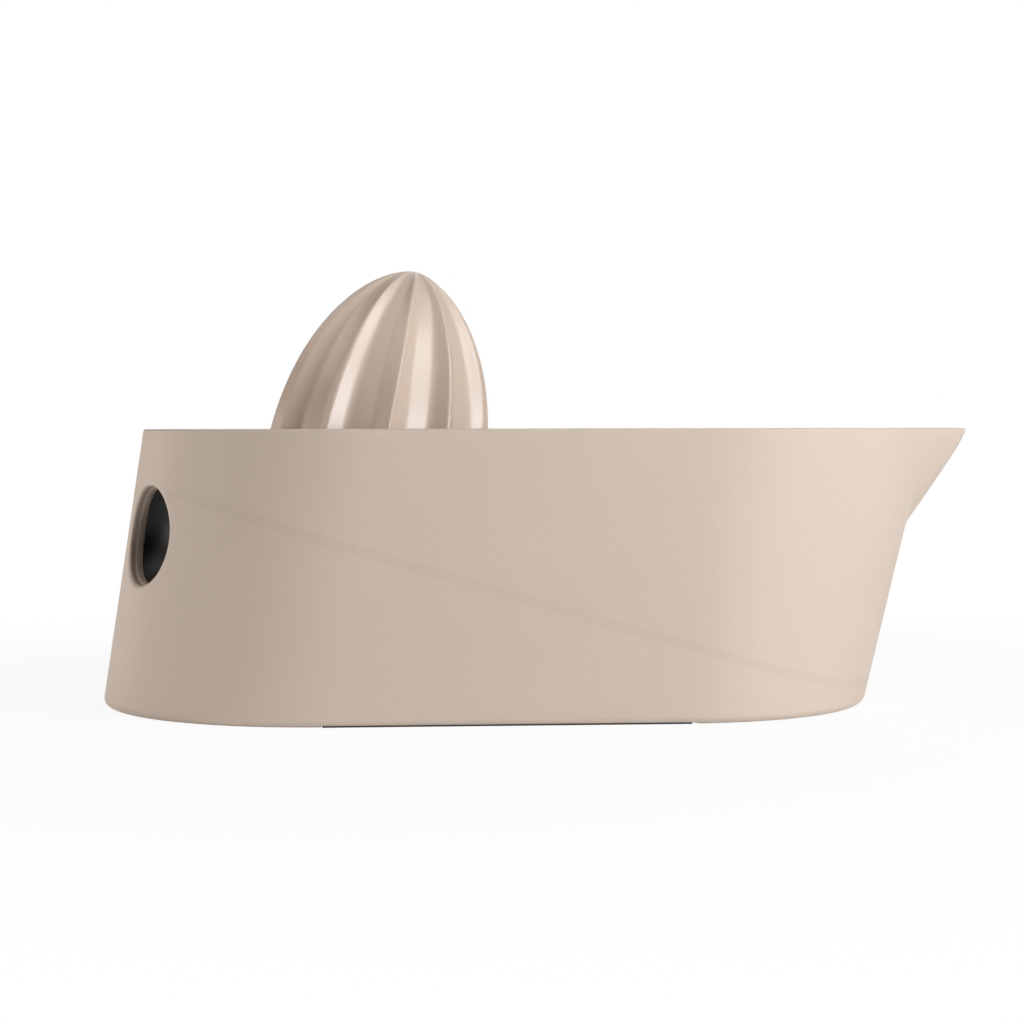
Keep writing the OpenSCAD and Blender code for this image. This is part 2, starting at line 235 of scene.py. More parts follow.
# The softened ridge ends short of the cone's tip, so the tip is set further out
SPOUT_FILLET, TIP_EXTRA = 0.5, 1.99
OUTER_SPOUT = dict(inset=0.0, tip=TIP_X + TIP_EXTRA, half_w=SPOUT_HALF_W, drop=SPOUT_DROP)
INNER_SPOUT = dict(
    inset=SPOUT_WALL,
    tip=TIP_X - 1.25 * SPOUT_WALL,
    half_w=SPOUT_HALF_W - SPOUT_WALL,
    drop=SPOUT_DROP - 2 * SPOUT_WALL,
)


# %% One closed outline


def outline(u, z, inset, spout):
    """Point of half the outline, which is the rear circle, a straight line and the front.

    From 0 to 1, u runs round the rear end, to 2 along the side and to 3 round the front,
    where the distance from its centre is the larger of the oval's and the cone's.
    """
    centre, radius = rear_round(z)
    length, half = front_oval(z)
    r, a, b = radius - inset, length - inset, half - inset
    cos_turn = side_turn(z, inset)
    turn = np.arccos(cos_turn)
    touch = np.arctan2(b**2 * np.sin(turn), a**2 * cos_turn)
    psi_rear = np.where(u < 1, PI - u * (PI - turn), turn)
    psi_front = np.where(u > 2, touch * (3 - u), touch)
    oval = 1 / np.hypot(np.cos(psi_front) / a, np.sin(psi_front) / b)
    reach = smooth_max(oval, spout_radius(psi_front, z, **spout), SPOUT_FILLET)
    along = np.clip(u - 1, 0, 1)
    rear_x, front_x = centre + r * np.cos(psi_rear), FRONT_X + reach * np.cos(psi_front)
    x = rear_x * (1 - along) + front_x * along
    y = r * np.sin(psi_rear) * (1 - along) + reach * np.sin(psi_front) * along
    return np.stack([x, np.where(np.isin(u, [0.0, 3.0]), 0.0, y), z], axis=-1)


# Columns of the half outline. The spout's ridge needs the closest ones.
REAR_COLS, SIDE_COLS, BOW_COLS, SPOUT_COLS = 60, 13, 26, 63
SPOUT_FROM, BEFORE_SIDE = 0.6, 0.9995
half_u = np.concatenate(
    [
        np.linspace(0, 1, REAR_COLS + 1)[:-1],
        [BEFORE_SIDE],
        np.linspace(1, 2, SIDE_COLS),
        2 + np.linspace(0, SPOUT_FROM, BOW_COLS + 1)[1:],
        2 + np.linspace(SPOUT_FROM, 1, SPOUT_COLS + 1)[1:],
    ]
)
ring_u = np.concatenate([half_u, half_u[-2:0:-1]])
ring_side = np.concatenate([np.ones(len(half_u)), -np.ones(len(half_u) - 2)])
HALF, RING = len(half_u), len(ring_u)


def ring_rows(z, inset, spout=OUTER_SPOUT):
    """Closed outlines, one per row, for heights z and insets of equal shape rows x 1."""
    u = np.broadcast_to(half_u, (len(z), HALF))
    z, inset = np.broadcast_to(z, u.shape), np.broadcast_to(inset, u.shape)
    half = outline(u, z, inset, spout)
    other = half[:, -2:0:-1] * np.array([1, -1, 1])
    return np.concatenate([half, other], axis=1)


def column(values):
    """A list of numbers as a column, ready to meet a row of the ring."""
    return np.asarray(values, dtype=float)[:, None]


def circle(cols):
    """Angles once round, as a row."""
    return np.linspace(0, 2 * PI, cols, endpoint=False)[None, :]


tip = outline(np.array([[3.0]]), np.array([[JUG_H]]), 0.0, OUTER_SPOUT)
print("outline", RING, "columns, tip at", round(float(tip[0, 0, 0]), 2))

# %% [markdown]
# ## Where the ports lie
# A finger port runs into the rear end on each side. Its axis is level and points
# inwards, not quite at right angles to the wall. Everything in a port is measured from
# this axis: sideways, up, and in from the wall's own surface, because the wall is curved.

# %% Port frame
up = np.array([0.0, 0.0, 1.0])


def port_frame(side):
    """Origin on the wall, inward direction and sideways direction of the port on one side."""
    rear_c, rear_r = rear_round(PORT_Z)
    out_x, out_y = rear_r * np.cos(PORT_AT), side * rear_r * np.sin(PORT_AT)
    origin = np.array([rear_c - out_x, out_y, PORT_Z])
    inward = np.array([np.cos(PORT_AIM), -side * np.sin(PORT_AIM), 0.0])
    sideways = np.array([-side * inward[1], side * inward[0], 0.0])
    return origin, inward, sideways


def wall_depth(side, q, h):
    """How far in the wall lies, at q sideways and h up from the port's axis.

    The wall at that height is a circle, so this is the nearer root of a quadratic.
    """
    origin, inward, sideways = port_frame(side)
    rear_c, rear_r = rear_round(PORT_Z + h)
    x = origin[0] + q * sideways[0] - rear_c
    y = origin[1] + q * sideways[1]
    b = x * inward[0] + y * inward[1]
    return -b - np.sqrt(b * b - (x * x + y * y - rear_r**2))


def along_port(side, q, h, depth):
    """Points at q sideways, h up and a depth in from the port's origin."""
    origin, inward, sideways = port_frame(side)
    return origin + q[..., None] * sideways + h[..., None] * up + depth[..., None] * inward


def behind_wall(side, q, h, depth):
    """Points at q sideways, h up and a depth behind the wall's own surface."""
    return along_port(side, q, h, wall_depth(side, q, h) + depth)


# The room that a pocket takes: its radius, where it begins and ends, and just behind it
TAKEN_R, TAKEN_FROM, TAKEN_TO, BEHIND_IT = 13.8, 0.5, 14.0, 14.2


def round_the_pockets(points):
    """Moves points of the inner faces that would cross a port's pocket to just behind it."""
    for side in (1, -1):
        origin, inward, sideways = port_frame(side)
        q, h = (points - origin) @ sideways, points[..., 2] - PORT_Z
        depth = (points - origin) @ inward
        crossing = (np.hypot(q, h) < TAKEN_R) & (depth > TAKEN_FROM) & (depth < TAKEN_TO)
        points = points + np.where(crossing, BEHIND_IT - depth, 0.0)[..., None] * inward
    return points


# %% [markdown]
# ## The jug's skin
# The skin starts under the base, goes round the rounded foot, up the wall, over the
# rim and down inside to the sloping floor. Each row is one closed outline, so the
# whole skin is one grid. The floor could be a separate plate, but on the real jug it
# is moulded with the wall, so its edge runs into the wall with a small fillet.

# %% Heights of the foot, the wall and the rim
# A power just below one keeps the round foot inside the solid's facets. The rows are
# closer above SPOUT_FOOT, where the spout begins.
FOOT_POWER, SPOUT_FOOT = 0.95, 40.0
FOOT_ROWS, LOW_ROWS, HIGH_ROWS, RIM_ROWS, BOWL_ROWS, COVE_ROWS = 7, 19, 41, 4, 44, 6
RIM_EDGE = JUG_H - RIM_ROUND
foot_turn = np.linspace(0, PI / 2, FOOT_ROWS)
foot_z = FOOT_ROUND * (1 - np.cos(foot_turn))
foot_inset = FOOT_ROUND * (1 - np.sin(foot_turn)) ** FOOT_POWER
low_z = np.linspace(FOOT_ROUND, SPOUT_FOOT, LOW_ROWS + 1)[1:]
high_z = np.linspace(SPOUT_FOOT, RIM_EDGE, HIGH_ROWS + 1)[1:]
wall_z = np.concatenate([low_z, high_z])
rim_turn = np.linspace(0, PI / 2, RIM_ROWS + 1)[1:]
rim_z = JUG_H - RIM_ROUND * (1 - np.sin(rim_turn))
rim_inset = RIM_ROUND * (1 - np.cos(rim_turn))

# %% Rows that follow the floor
# A leaning wall meets the sloping floor at a height that is found in a few passes
FLOOR_ROUND, PASSES, FIRST_GUESS = 3.0, 6, FLOOR_FRONT_Z + 20.0


def floor_height(x):
    """Top of the floor: level at the rear, an even slope, and level again in front."""
    share = np.clip((x - SLOPE_FROM) / (SLOPE_TO - SLOPE_FROM), 0, 1)
    return FLOOR_REAR_Z + (FLOOR_FRONT_Z - FLOOR_REAR_Z) * share


def whole_ring(z, inset, spout):
    """Closed outlines for a height per point."""
    u = np.broadcast_to(ring_u, z.shape)
    points = outline(u, z, np.broadcast_to(inset, z.shape), spout)
    points[..., 1] *= ring_side
    return points


def inner_rows(inset, lift, share):
    """Rows inside the bowl, at a share of the way from the floor plus lift to the rim's edge."""
    z = np.full((len(share), RING), FIRST_GUESS)
    for _ in range(PASSES):
        rows = whole_ring(z, inset, INNER_SPOUT)
        bottom = floor_height(rows[..., 0]) + lift
        z = bottom + share * (RIM_EDGE - bottom)
    return whole_ring(z, inset, INNER_SPOUT)


def raise_straight_part(points):
    """Between the round ends the underside is cut back, to make room for the pad's edge."""
    straight = (ring_u >= 1) & (ring_u <= 2)
    low = points[..., 2] < PAD_EDGE_T
    points[..., 2] = np.where(straight & low, PAD_EDGE_T, points[..., 2])
    return points


def cove_row(a):
    """One row of the fillet between wall and floor, at the angle a of its quarter circle."""
    inset, lift = FLOOR_ROUND * (1 - np.cos(a)), FLOOR_ROUND * (1 - np.sin(a))
    return inner_rows(WALL + inset, lift, np.zeros((1, 1)))


# %% Rows of the skin
foot_rows = raise_straight_part(ring_rows(column(foot_z), column(foot_inset)))
wall_rows = ring_rows(column(wall_z), column(0 * wall_z))
at_edge, no_inset = column(0 * rim_z + RIM_EDGE), column(0 * rim_z)
outer_edge = ring_rows(at_edge, no_inset)
inner_edge = ring_rows(at_edge, no_inset + WALL, INNER_SPOUT)
lean_in = inner_edge - outer_edge
lean_in /= np.linalg.norm(lean_in, axis=-1, keepdims=True)
rim_in_by, rim_rise = rim_inset[:, None, None], (rim_z - RIM_EDGE)[:, None, None]
rim_out = outer_edge + lean_in * rim_in_by + up * rim_rise
rim_in = (inner_edge - lean_in * rim_in_by + up * rim_rise)[::-1]
inner_wall = inner_rows(WALL, FLOOR_ROUND, np.linspace(1, 0, BOWL_ROWS)[:, None])
cove_rows = np.concatenate([cove_row(a) for a in np.linspace(0, PI / 2, COVE_ROWS + 1)[1:]])
print("skin rows", len(foot_rows), len(wall_rows), len(rim_out), len(inner_wall), len(cove_rows))

# %% [markdown]
# ## The floor and the hollow under it
# The floor's edge is a closed ring whose left and right halves mirror each other, so
# the floor is a ladder: each rung joins the two points with the same x. The underside
# of the floor is the same ladder, lower by the floor's thickness. The hollow between
# it and the base is closed by the cover, as on real jugs of this kind.

# %% Ladder surfaces
RUNG_POINTS, HOLLOW_ROWS, HOLLOW_GUESS = 24, 48, 6.0


def ladder(ring, height):
    """Fills a ring from side to side, with straight rungs that follow a height over x."""
    left = ring[:HALF]
    right = np.concatenate([ring[:1], ring[:HALF - 1:-1], ring[HALF - 1:HALF]])
    across = np.linspace(0, 1, RUNG_POINTS)[None, :, None]
    points = left[:, None] * (1 - across) + right[:, None] * across
    inside = (across[..., 0] > 0) & (across[..., 0] < 1)
    points[..., 2] = np.where(inside, height(points[..., 0]), points[..., 2])
    return points


def floor_underside(x):
    """Bottom of the floor."""
    return floor_height(x) - FLOOR_T


def under_row(share):
    """Inner wall of the hollow, at a share of the way up to the floor's underside."""
    z = np.full((1, RING), HOLLOW_GUESS)
    for _ in range(PASSES):
        rows = whole_ring(z, WALL, OUTER_SPOUT)
        z = share * floor_underside(rows[..., 0])
    return whole_ring(z, WALL, OUTER_SPOUT)


hollow_shares = np.linspace(0, 1, HOLLOW_ROWS)
under_wall = np.concatenate([raise_straight_part(under_row(share)) for share in hollow_shares])
under_wall, cove_rows = round_the_pockets(under_wall), round_the_pockets(cove_rows)
inner_wall = round_the_pockets(inner_wall)
floor_top = round_the_pockets(ladder(cove_rows[-1], floor_height))
floor_low = round_the_pockets(ladder(under_wall[-1], floor_underside))

# %% [markdown]
# ## The finger ports
# Each port has a soft rounded mouth, a bore with a faint step and a dark gap in which
# the cup's edge sits. The grid of the wall has a window there. It is filled by rings
# that run from the window's edge to the mouth: they are laid out on a flat plane
# across the port, and then each point is pushed along the port's axis onto the wall.
# A boolean cut would leave a ragged edge with no room for the soft rounding.

# %% Windows in the wall
# Half the height of a window in millimetres, and the degrees round the rear end it spans
WINDOW_HALF_H, WINDOW_SPAN = 17.0, (13.0, 48.5)
skin_rows = [under_wall[:1], foot_rows, wall_rows, rim_out, rim_in, inner_wall[1:], cove_rows]
skin = np.concatenate(skin_rows)
first_wall = 1 + len(foot_rows)
r0, r1 = first_wall + np.searchsorted(wall_z, [PORT_Z - WINDOW_HALF_H, PORT_Z + WINDOW_HALF_H])
rear_angle = half_u[:REAR_COLS] * np.degrees(PI - np.arccos(side_turn(PORT_Z, 0.0)))
c0, c1 = np.searchsorted(rear_angle, WINDOW_SPAN)
skip = np.zeros((len(skin) - 1, RING), dtype=bool)
skip[r0:r1, c0:c1] = True
skip[r0:r1, RING - c1:RING - c0] = True


def loop_of(r0, r1, c0, c1):
    """Rows and columns of a window's edge, in order, once round."""
    wide, high = c1 - c0, r1 - r0
    along, back = np.arange(c0, c1), np.arange(c1, c0, -1)
    rise, fall = np.arange(r0, r1), np.arange(r1, r0, -1)
    rows = np.concatenate([np.full(wide, r0), rise, np.full(wide, r1), fall])
    cols = np.concatenate([along, np.full(high, c1), back, np.full(high, c0)])
    return rows, cols


def window_loop(side):
    """The skin's own points round the window on one side."""
    rows, cols = loop_of(r0, r1, c0, c1)
    if side < 0:
        cols = (RING - cols) % RING
    return skin[rows, cols]


# %% Rounded mouth, bore and blind end
# Depths run in from the wall. The grip is the room behind the lip for the cup's edge, and
# the power crowds the rings a little towards the mouth.
MOUTH_ROUND, MOUTH_DEPTH = 1.5, 1.1
STEP_DEPTH, STEP, LIP_DEPTH = 1.9, 0.25, 3.9
POCKET_R, POCKET_BACK, GRIP = 14.0, 13.0, 0.6
WINDOW_RINGS, CROWDING, MOUTH_RINGS = 13, 0.9, 8
STEP_R = PORT_R - STEP
# Radius and depth of the bore's rings: a small step, the lip, the room behind it, the blind end
BORE = np.array([
    [PORT_R, STEP_DEPTH], [PORT_R - STEP * 0.6, STEP_DEPTH + 0.05], [STEP_R, STEP_DEPTH + 0.2],
    [STEP_R, LIP_DEPTH - 0.15], [STEP_R + 0.15, LIP_DEPTH], [PORT_R + GRIP, LIP_DEPTH + 0.01],
    [PORT_R + GRIP, LIP_DEPTH + 6], [POCKET_R * 0.6, POCKET_BACK], [0.0, POCKET_BACK + 0.5],
])


def port_skin(side):
    """Rings from the window's edge over the mouth's rounding and down the bore to a blind end.

    On the wall, a ring is a mix of the window's edge and the mouth's circle. The mouth
    is a curve with three control points: wide on the wall, the bore's radius on the
    wall, and the bore's radius at the mouth's depth.
    """
    loop = window_loop(side)
    origin, inward, sideways = port_frame(side)
    q, h = (loop - origin) @ sideways, loop[:, 2] - PORT_Z
    turn = np.arctan2(h, q)
    edge = PORT_R + MOUTH_ROUND
    share = (np.linspace(0, 1, WINDOW_RINGS + 1) ** CROWDING)[1:, None]
    flat_q = q * (1 - share) + edge * np.cos(turn) * share
    flat_h = h * (1 - share) + edge * np.sin(turn) * share
    on_wall = behind_wall(side, flat_q, flat_h, np.zeros_like(flat_q))
    bend = np.linspace(0, 1, MOUTH_RINGS + 1)[1:, None]
    r = (1 - bend) ** 2 * edge + 2 * bend * (1 - bend) * PORT_R + bend**2 * PORT_R
    r = np.concatenate([r, BORE[:, :1]])
    d = np.concatenate([bend**2 * MOUTH_DEPTH, BORE[:, 1:]])
    bore = behind_wall(side, r * np.cos(turn), r * np.sin(turn), d + 0 * turn)
    return np.concatenate([loop[None], on_wall, bore])


port_skins = [port_skin(side) for side in (1, -1)]
print("port rings", port_skins[0].shape)

# %% [markdown]
# ## What sits inside the bowl
# Behind each port a closed pocket bulges into the bowl and keeps juice away from the
# finger. Five rests stand on the sloping floor and carry the tray. They are moulded
# with the jug, so they are part of its skin, sunk a little into the wall and floor.
# Boolean unions could join them, but sunk pieces look the same and stay clean.

# %% Pockets behind the ports
# A pocket's outer and inner face: radius, and how far it reaches in past its straight part
BULGE_OUTER, BULGE_INNER = (14.4, 9.6), (13.2, 8.8)
BULGE_STRAIGHT, BULGE_ROOT, BULGE_POWER = 5.0, 1.0, 0.6
BULGE_ROWS, BULGE_COLS = 24, 72


def bulge_face(size, t):
    """Radius (a power of the cosine) and depth (the sine) of a blunt dome at the angle t."""
    return size[0] * np.cos(t) ** BULGE_POWER, BULGE_STRAIGHT + size[1] * np.sin(t)


def pocket_bulge(side):
    """A closed dome round the blind end of the bore: outer face in, inner face back out."""
    t = np.linspace(0, PI / 2, BULGE_ROWS)
    outer_r, outer_d = bulge_face(BULGE_OUTER, t)
    inner_r, inner_d = bulge_face(BULGE_INNER, t[::-1])
    root = [BULGE_ROOT]
    r = np.concatenate([outer_r[:1], outer_r, inner_r, inner_r[-1:], outer_r[:1]])[:, None]
    d = np.concatenate([root, outer_d, inner_d, root, root])[:, None]
    q, h = r * np.cos(circle(BULGE_COLS)), r * np.sin(circle(BULGE_COLS))
    at_wall = np.where(d <= BULGE_ROOT, wall_depth(side, q, h), 0.0)
    return along_port(side, q, h, d + at_wall)


# %% Tray rests
TRAY_R, TRAY_STRETCH, TRAY_T = 51.02, 4.88, 2.0
REST_T, REST_LAP, SEAT_GAP = 3.0, 3.0, 0.3
# Where the side rests stand ahead of the reamer's axis, the height at which the wall's
# place is read, how far they are sunk into the wall, and the length of the rear rest
REST_AHEAD, REST_READ_Z, REST_SUNK, REAR_REST_LONG = (-25.0, 19.0), 45.0, 1.2, 5.5


def from_tray(points):
    """Turns points given above the tray into the frame of the whole.

    Height above the tray runs along the reamer's axis, so x and z are mixed by the
    cosine and the sine of the tilt.
    """
    x, y, z = points[..., 0], points[..., 1], points[..., 2]
    ahead = FOOT_X + x * np.cos(TILT) + z * np.sin(TILT)
    height = TRAY_Z - x * np.sin(TILT) + z * np.cos(TILT)
    return np.stack([ahead, y, height], axis=-1)


def block(low, high, top):
    """A block whose top follows a height over x and whose foot is sunk into the floor."""
    x = np.array([low[0], high[0]])
    y = np.array([low[1], high[1]])
    corner = [(0, 0), (1, 0), (1, 1), (0, 1)]
    foot = [[x[i], y[j], floor_height(x[i]) - FLOOR_T / 2] for i, j in corner]
    head = [[x[i], y[j], top(x[i])] for i, j in corner]
    faces = [[0, 3, 2, 1], [4, 5, 6, 7], [0, 1, 5, 4], [1, 2, 6, 5], [2, 3, 7, 6], [3, 0, 4, 7]]
    return np.array(foot + head), np.array(faces)


def under_tray(x):
    """Height of the tray's underside over x, less the gap at its seat."""
    below = TRAY_T + SEAT_GAP
    return TRAY_Z - (x - FOOT_X) * np.tan(TILT) - below / np.cos(TILT)


def wall_y(x, z):
    """Half the width of the bowl at x and height z, read off the rear end or the straight side."""
    centre, radius = rear_round(z)
    cos_turn = side_turn(z, WALL)
    side = (radius - WALL - (x - centre) * cos_turn) / np.sqrt(1 - cos_turn**2)
    round_end = np.sqrt(np.maximum((radius - WALL) ** 2 - (x - centre) ** 2, 0))
    return np.where(x < centre, round_end, side)


def tray_half(u):
    """Half the width of the tray at a distance u ahead of the reamer's axis."""
    return np.sqrt(TRAY_R**2 - max(abs(u) - TRAY_STRETCH, 0) ** 2)


def rear_rest():
    """The rest in the middle of the rear end."""
    x = FOOT_X - (TRAY_R + TRAY_STRETCH) * np.cos(TILT) + REST_LAP
    return block((x - REAR_REST_LONG, -REST_T / 2), (x, REST_T / 2), under_tray)


def side_rest(side, ahead):
    """A rest that runs from under the tray's edge into the side wall."""
    x = FOOT_X + ahead
    near = tray_half(ahead / np.cos(TILT)) - REST_LAP
    far = float(wall_y(np.array(x), REST_READ_Z)) + REST_SUNK
    y = sorted([side * near, side * far])
    return block((x - REST_T / 2, y[0]), (x + REST_T / 2, y[1]), under_tray)


rests = [rear_rest()] + [side_rest(side, ahead) for side in (1, -1) for ahead in REST_AHEAD]
bulges = [surface(pocket_bulge(side), wrap=True) for side in (1, -1)]

# %% Join the jug
jug = make_piece(
    "jug_shell",
    [
        surface(skin, wrap=True, skip=skip),
        surface(under_wall, wrap=True),
        surface(floor_top),
        surface(floor_low),
        *[surface(p, wrap=True) for p in port_skins],
        *bulges,
        *rests,
    ],
    "jug",
    ["jug_body"],
)

# %% [markdown]
# ## The soft cups
# The cup in each port is a thin rubber dish, part of a ball, whose edge is gripped
# behind the port's lip. A profile of radius over depth is turned round the port's
# axis. A Screw modifier could turn it too, but the edge has to follow the curved wall,
# as the lip does, so every point's depth is worked out.

# %% Cups
CUP_DISH, CUP_WALL, CUP_MOUTH = 7.0, 1.6, PORT_R - 2 * STEP
CUP_FRONT_ROWS, CUP_BACK_ROWS, CUP_COLS = 26, 20, 96
# Radius and depth behind the lip of the gripped edge, from its front round to its back
CUP_EDGE = np.array([[CUP_MOUTH + 0.15, 0.03], [PORT_R + 0.4, 0.06], [PORT_R + 0.4, 2.4]])


def cup_points(side):
    """Front face from the middle out to the lip, then round the edge and back behind.

    Both faces are parts of balls with one centre: the depth is the centre's plus the
    root of the ball's radius squared less the distance from the axis squared. The
    edge follows the curved wall, and the dish does so less towards its middle.
    """
    ball = (CUP_MOUTH**2 + CUP_DISH**2) / (2 * CUP_DISH)
    centre = LIP_DEPTH + CUP_DISH - ball
    front_r = CUP_MOUTH * np.linspace(0, 1, CUP_FRONT_ROWS)
    back_r = np.linspace(PORT_R - 0.1, 0, CUP_BACK_ROWS)
    front_d = centre + np.sqrt(ball**2 - front_r**2)
    back_d = centre + np.sqrt((ball + CUP_WALL) ** 2 - back_r**2)
    r = np.concatenate([front_r, CUP_EDGE[:, 0], back_r])[:, None]
    d = np.concatenate([front_d, LIP_DEPTH + CUP_EDGE[:, 1], back_d])[:, None]
    a = circle(CUP_COLS)
    follow = np.minimum((r / CUP_MOUTH) ** 2, 1)
    bend = wall_depth(side, CUP_MOUTH * np.cos(a), CUP_MOUTH * np.sin(a)) * follow
    return along_port(side, r * np.cos(a), r * np.sin(a), d + bend)


def make_cup(word, side):
    """The cup on one side, which stands for the CAD's cup of the same side."""
    skin_of_cup = surface(cup_points(side), wrap=True)
    return make_piece(f"cup_{word}", [skin_of_cup], "jug", [f"port_cup_{word}"])


cups = [make_cup("left", 1), make_cup("right", -1)]

# %% [markdown]
# ## The reamer
# The reamer is a dome with ribs. Its profile is a rounded power curve, which meets the
# axis at the tip and stands nearly straight at the foot. Round the axis, the radius
# dips between the ribs: each flute is wide and nearly flat, and each rib is narrow and
# rounded like a bell, with a finer bell along its crest that catches the light. One
# function of height and angle gives the whole outside. Ribs set on a plain dome would
# need a blend along both sides of each.

# %% Outside of the reamer
# The CAD's reamer is 60.3 high, and its facets cut the crown to this height
REAMER_H, REAMER_R, SKIRT = 60.27, 28.9, 5.4
ALONG, ACROSS, FLUTE_FADE = 2.21, 1.71, 0.8
RIBS, FLUTE, RIB_HALF_W, RIB_TURN = 11, 3.9, 3.0, np.radians(177.6)
RIB_PITCH = 2 * PI * REAMER_R / RIBS
EDGE_HALF_W, EDGE_SHARE = 1.0, 0.16
RIB_COLS, DOME_ROWS, SKIRT_ROWS = 48, 90, 5
REAMER_WALL, BOSS_SIDES, BOSS_H, SOCKET_GAP = 2.0, 6, 9.0, 0.3
SOCKET_R = REAMER_R - FLUTE - REAMER_WALL


def dome_r(h):
    """Radius over the ribs at height h: one minus a power of the height, to another power."""
    t = np.maximum(h - SKIRT, 0) / (REAMER_H - SKIRT)
    return REAMER_R * np.maximum(1 - t**ALONG, 0) ** (1 / ACROSS)


def bell(distance, half_w):
    """Bell curve: e to the power of minus the square of distance over half width."""
    return np.exp(-((distance / half_w) ** 2))


def flute_dip(a):
    """Nought on a crest, almost one between ribs: one minus a broad and a narrow bell."""
    turns = RIBS * (a - RIB_TURN) / (2 * PI)
    from_crest = (turns - np.round(turns)) * RIB_PITCH
    broad, narrow = bell(from_crest, RIB_HALF_W), bell(from_crest, EDGE_HALF_W)
    return 1 - (1 - EDGE_SHARE) * broad - EDGE_SHARE * narrow


def reamer_points(h, a):
    """Outside of the reamer. The flutes get shallower towards the tip, as the radius does."""
    r = dome_r(h)
    r = r - FLUTE * flute_dip(a) * (r / REAMER_R) ** FLUTE_FADE
    return np.stack([r * np.cos(a), r * np.sin(a), h + 0 * a], axis=-1)


def polygon_r(corner_r, sides, a):
    """Radius of a regular polygon in direction a: its inner radius over a cosine."""
    step = 2 * PI / sides
    return corner_r * np.cos(step / 2) / np.cos(np.mod(a, step) - step / 2)


ring_a = RIB_TURN + circle(RIBS * RIB_COLS)
climb = np.sin(np.linspace(PI / 2, 0, DOME_ROWS))[:, None]
dome = reamer_points(SKIRT + (REAMER_H - SKIRT) * climb, ring_a)

# %% Foot of the reamer
# The foot's edge is rounded by two rings: how far in they lie, and how high
FOOT_TOP, FOOT_IN, FOOT_UP = 0.8, np.array([0.15, 0.5])[:, None], np.array([0.45, 0.3])[:, None]
skirt = reamer_points(np.linspace(SKIRT, FOOT_TOP, SKIRT_ROWS + 1)[1:, None], ring_a)
foot_ring = reamer_points(0 * FOOT_UP + 1.0, ring_a)
foot_ring = foot_ring * (1 - FOOT_IN[..., None] / REAMER_R)
foot_ring[..., 2] = FOOT_UP

# %% Hollow of the reamer
# A six-sided socket over the boss, and above it a dome that follows the outside
SOCKET_TOP, HOLLOW_ROWS_UP, HOLLOW_LEAST = BOSS_H + 1.0, 16, 0.5
SOCKET_UP, SOCKET_OPENS = [[0.3], [0.8], [SOCKET_TOP]], [[0.4], [0.0], [0.0]]
skin_t = FLUTE + REAMER_WALL
hollow_top = REAMER_H - 2 * skin_t
socket_r = polygon_r(SOCKET_R, BOSS_SIDES, ring_a) + SOCKET_OPENS
rise = np.linspace(0, 1, HOLLOW_ROWS_UP)[:, None]
dome_h = SOCKET_TOP + (hollow_top - SOCKET_TOP) * np.sin(rise * PI / 2)
hollow_r = np.maximum(dome_r(dome_h + skin_t * rise) - FLUTE - REAMER_WALL, HOLLOW_LEAST)
hollow_r = np.minimum(hollow_r, SOCKET_R * np.cos(PI / BOSS_SIDES))
inside_r = np.concatenate([socket_r, hollow_r + 0 * ring_a, 0 * ring_a])
inside_h = np.concatenate([SOCKET_UP, dome_h, [[hollow_top]]]) + 0 * ring_a
inside = np.stack([inside_r * np.cos(ring_a), inside_r * np.sin(ring_a), inside_h], axis=-1)

# %% Join the reamer
reamer_grid = from_tray(np.concatenate([dome, skirt, foot_ring, inside]))
reamer_skin = surface(reamer_grid, wrap=True)
reamer = make_piece(
    "reamer_cone", [reamer_skin], "reamer", ["reamer"], sharp=50.0
)

# %% [markdown]
# ## The strainer tray
# The tray is a shallow oval dish with 36 juice slots between its rim and the ridge that
# centres the reamer. The plate could be cut by 36 booleans, but each cut would leave a
# sharp ragged edge. Instead the dish is one grid that runs from the boss out over the
# rim and back in underneath. It has a window round each slot, and a small ring of faces
# fills each window on both faces and rounds the slot's edges, as the mould does.

# %% Sizes of the tray, and the grid of its plate
TRAY_RIM_H, TRAY_RIM_T = 6.3, 1.8
RIDGE_IN, RIDGE_T, RIDGE_H = REAMER_R + SEAT_GAP, 1.4, 1.5
SLOTS, SLOT_W, SLOT_IN, SLOT_OUT = 36, 2.2, 34.5, 45.5
BOSS_R = SOCKET_R - SOCKET_GAP / np.cos(PI / BOSS_SIDES)
BOSS_WALL, HALF_SECTOR = 2.0, PI / SLOTS
# The plate's rows lie at these distances from the axis, closest at a slot's round ends.
# A sector has two columns before its window and as many squares across the window.
WINDOW_X = np.array([33.5, 34.3, 35.0, 35.6, 38.0, 40.0, 42.2, 44.4, 45.0, 45.7, 46.5])
WINDOW_HALF_W, WINDOW_COLS, COLS_BEFORE = 1.9, 6, 2


def sector_y(x):
    """Sideways place of a sector's columns at distance x, straight beside the slot.

    The sector's border lies at the distance times the tangent of half its angle.
    """
    border = x[:, None] * np.tan(HALF_SECTOR)
    middle = np.linspace(-WINDOW_HALF_W, WINDOW_HALF_W, WINDOW_COLS + 1) + 0 * border
    beside = (WINDOW_HALF_W + border) / 2
    return np.concatenate([-border, -beside, middle, beside], axis=1)


def all_sectors(x, y):
    """The same points in every sector, side by side, each turned by its sector's angle."""
    turn = (2 * np.arange(SLOTS) + 1) * HALF_SECTOR
    c, s = np.cos(turn)[None, :, None], np.sin(turn)[None, :, None]
    x, y = x[:, None, :], y[:, None, :]
    around = np.stack([x * c - y * s, x * s + y * c], axis=-1)
    return around.reshape(len(x), -1, 2)


# %% Curves of the tray's section


